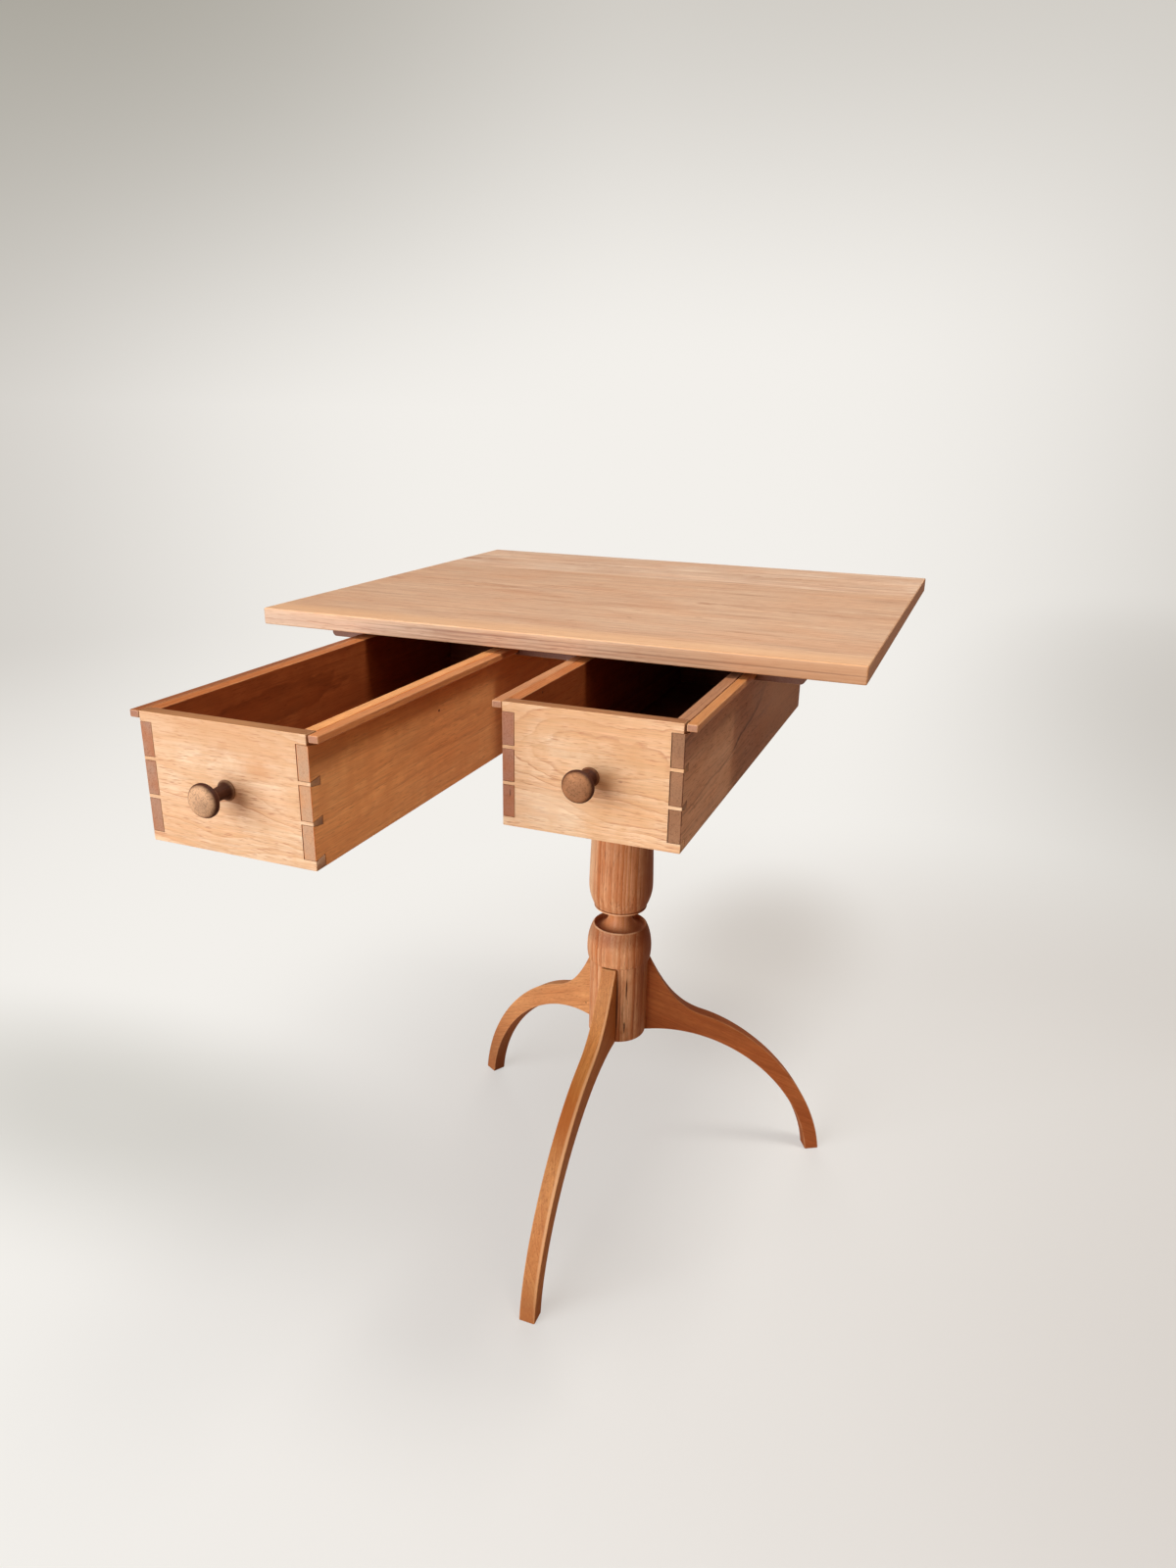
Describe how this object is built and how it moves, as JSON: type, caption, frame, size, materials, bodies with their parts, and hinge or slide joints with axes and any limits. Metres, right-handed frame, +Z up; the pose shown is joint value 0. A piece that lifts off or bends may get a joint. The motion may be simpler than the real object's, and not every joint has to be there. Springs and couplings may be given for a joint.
{
  "type": "sewing stand",
  "caption": "Shaker-style tripod sewing stand: flat cherry top on a turned post with curved legs, and dovetailed drawers hung under the top on cleats.",
  "frame": {"origin": "on the floor, under the middle of the stand's outline at rest, with both drawers pulled out as pictured; the post's axis stands 135.4 mm behind it", "axes": "+Z up, -Y the way the drawers pull out, +X to the right seen from the front"},
  "size_m": [0.508, 0.7228, 0.6675],
  "materials": {
    "top_wood": "satin oil finish",
    "post_wood": "satin oil finish",
    "leg_wood": "satin oil finish",
    "hanger_wood": "satin oil finish",
    "drawer_front_wood": "satin oil finish",
    "drawer_side_wood": "satin oil finish",
    "drawer_bottom_wood": "satin oil finish",
    "strip_wood": "satin oil finish",
    "knob_wood": "satin oil finish",
    "screw_steel": "bare steel"
  },
  "bodies": {
    "stand": {"top": "top_wood", "left_hanger": "hanger_wood", "centre_hanger": "hanger_wood", "right_hanger": "hanger_wood", "left_hanger_screw_1": "screw_steel", "left_hanger_screw_2": "screw_steel", "left_hanger_screw_3": "screw_steel", "centre_hanger_screw_1": "screw_steel", "centre_hanger_screw_2": "screw_steel", "right_hanger_screw_1": "screw_steel", "right_hanger_screw_2": "screw_steel", "right_hanger_screw_3": "screw_steel", "post": "post_wood", "front_leg": "leg_wood", "right_leg": "leg_wood", "left_leg": "leg_wood"},
    "left_drawer": {"left_drawer_front": "drawer_front_wood", "left_drawer_back": "drawer_side_wood", "left_drawer_left_side": "drawer_side_wood", "left_drawer_right_side": "drawer_side_wood", "left_drawer_bottom": "drawer_bottom_wood", "left_drawer_left_strip": "strip_wood", "left_drawer_right_strip": "strip_wood", "left_drawer_knob": "knob_wood"},
    "right_drawer": {"right_drawer_front": "drawer_front_wood", "right_drawer_back": "drawer_side_wood", "right_drawer_left_side": "drawer_side_wood", "right_drawer_right_side": "drawer_side_wood", "right_drawer_bottom": "drawer_bottom_wood", "right_drawer_left_strip": "strip_wood", "right_drawer_right_strip": "strip_wood", "right_drawer_knob": "knob_wood"}
  },
  "joints": [
    {"name": "left_drawer_slide", "type": "slide", "parent": "stand", "child": "left_drawer", "axis": [0, -1, 0], "range_m": [-0.2713, 0.0387]},
    {"name": "right_drawer_slide", "type": "slide", "parent": "stand", "child": "right_drawer", "axis": [0, -1, 0], "range_m": [-0.1542, 0.1558]}
  ]
}
